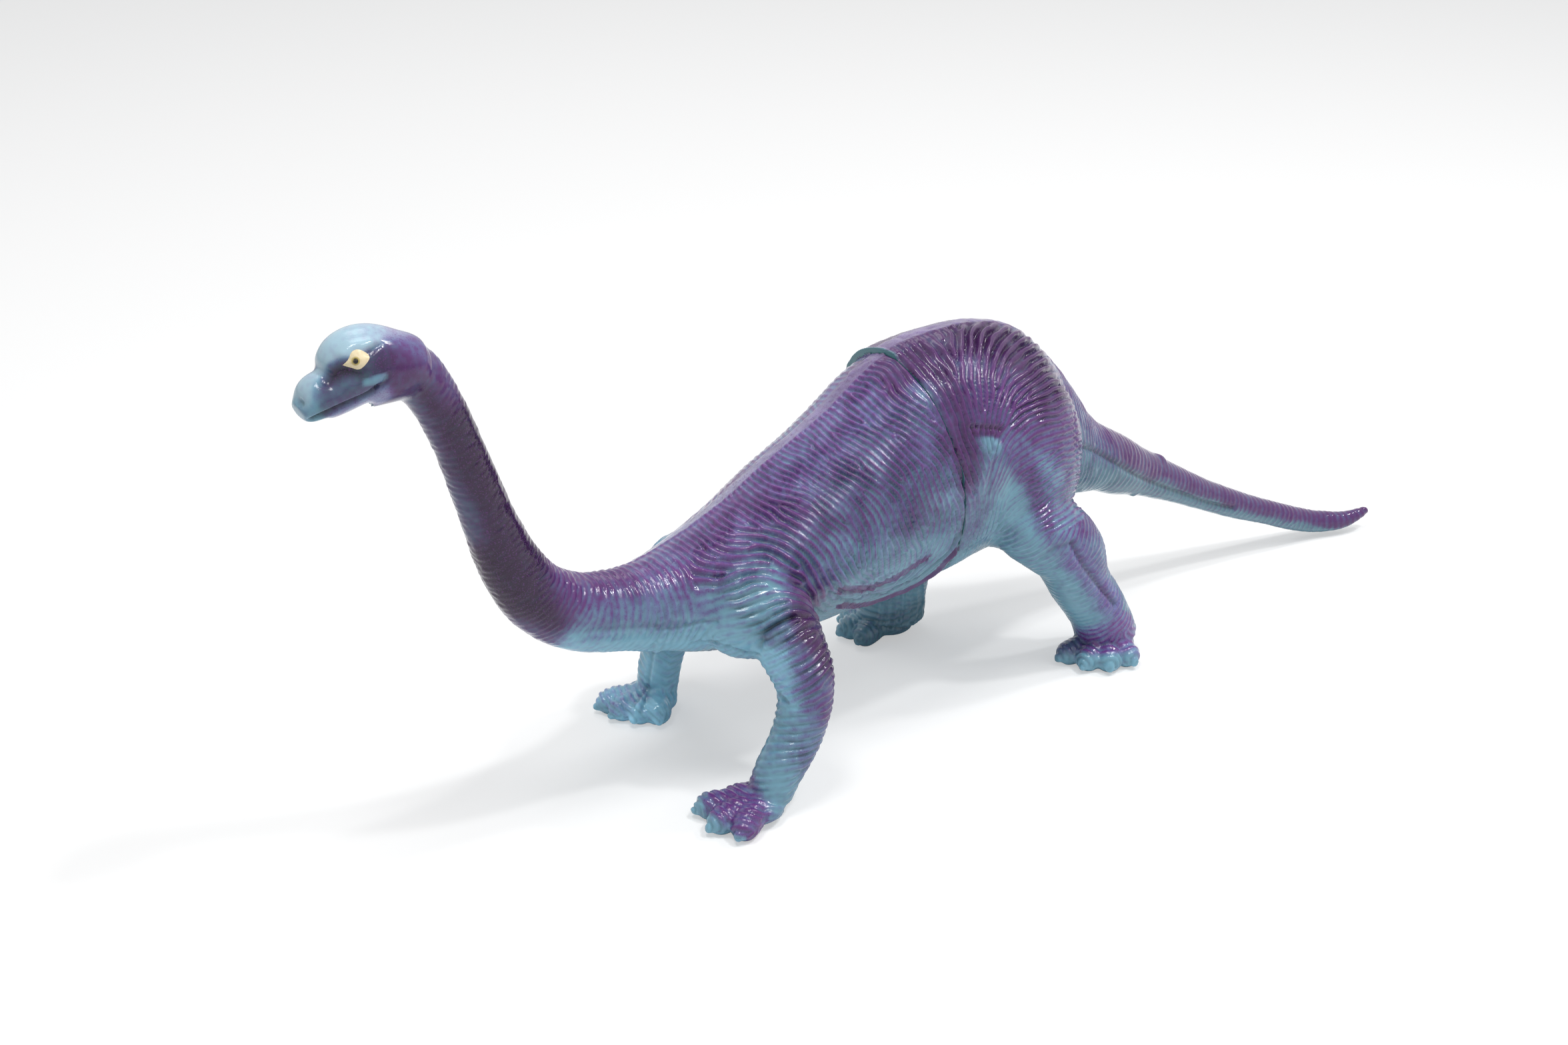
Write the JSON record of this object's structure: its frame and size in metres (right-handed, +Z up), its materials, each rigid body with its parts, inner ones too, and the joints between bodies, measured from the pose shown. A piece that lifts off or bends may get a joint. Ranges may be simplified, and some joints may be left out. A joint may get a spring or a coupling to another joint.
{
  "type": "toy sauropod dinosaur figure",
  "caption": "Standing long-necked toy dinosaur of soft vinyl, in a front and a rear moulding that plug together at the waist.",
  "frame": {"origin": "on the ground under the middle of the figure's bounding box", "axes": "+Z up, the head towards -X, the tail towards +X, the animal's left side towards -Y"},
  "size_m": [0.3342, 0.0746, 0.1331],
  "materials": {
    "front_shell": "semi-gloss soft vinyl, teal with violet spray along the back",
    "rear_shell": "semi-gloss soft vinyl, violet spray over teal"
  },
  "bodies": {
    "root": {"front_shell": "front_shell", "rear_shell": "rear_shell"}
  },
  "joints": []
}
